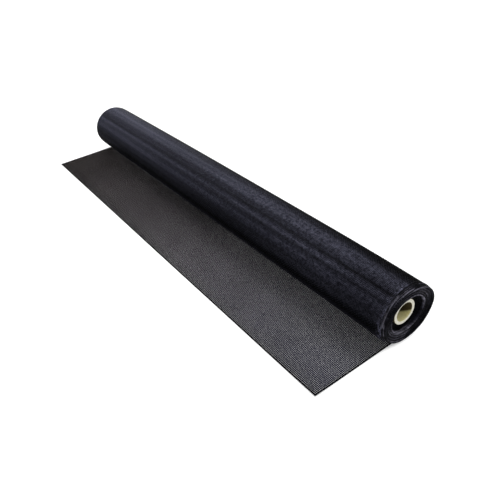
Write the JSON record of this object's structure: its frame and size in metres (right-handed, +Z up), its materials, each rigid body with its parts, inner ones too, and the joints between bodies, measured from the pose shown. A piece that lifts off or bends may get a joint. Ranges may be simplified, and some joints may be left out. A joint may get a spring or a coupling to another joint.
{
  "type": "roll of insect screen mesh with a loose end",
  "caption": "Long roll of dark open-weave screen cloth on a cardboard tube, lying on its side, with a flat loose end laid out in front.",
  "frame": {"origin": "on the ground under the roll's axis, halfway along the cloth's width, on the underside of the loose end", "axes": "+X along the roll towards its stepped end, -Y from the roll towards the free edge of the loose end, +Z up"},
  "size_m": [0.6123, 0.1344, 0.0634],
  "materials": {
    "screen_mesh": "coated yarn in an open plain weave, near black, satin",
    "cardboard": "spiral wound paper tube, matt, cream at the cut ends"
  },
  "bodies": {
    "root": {"core_tube": "cardboard", "wound_mesh": "screen_mesh", "loose_end": "screen_mesh"}
  },
  "joints": []
}
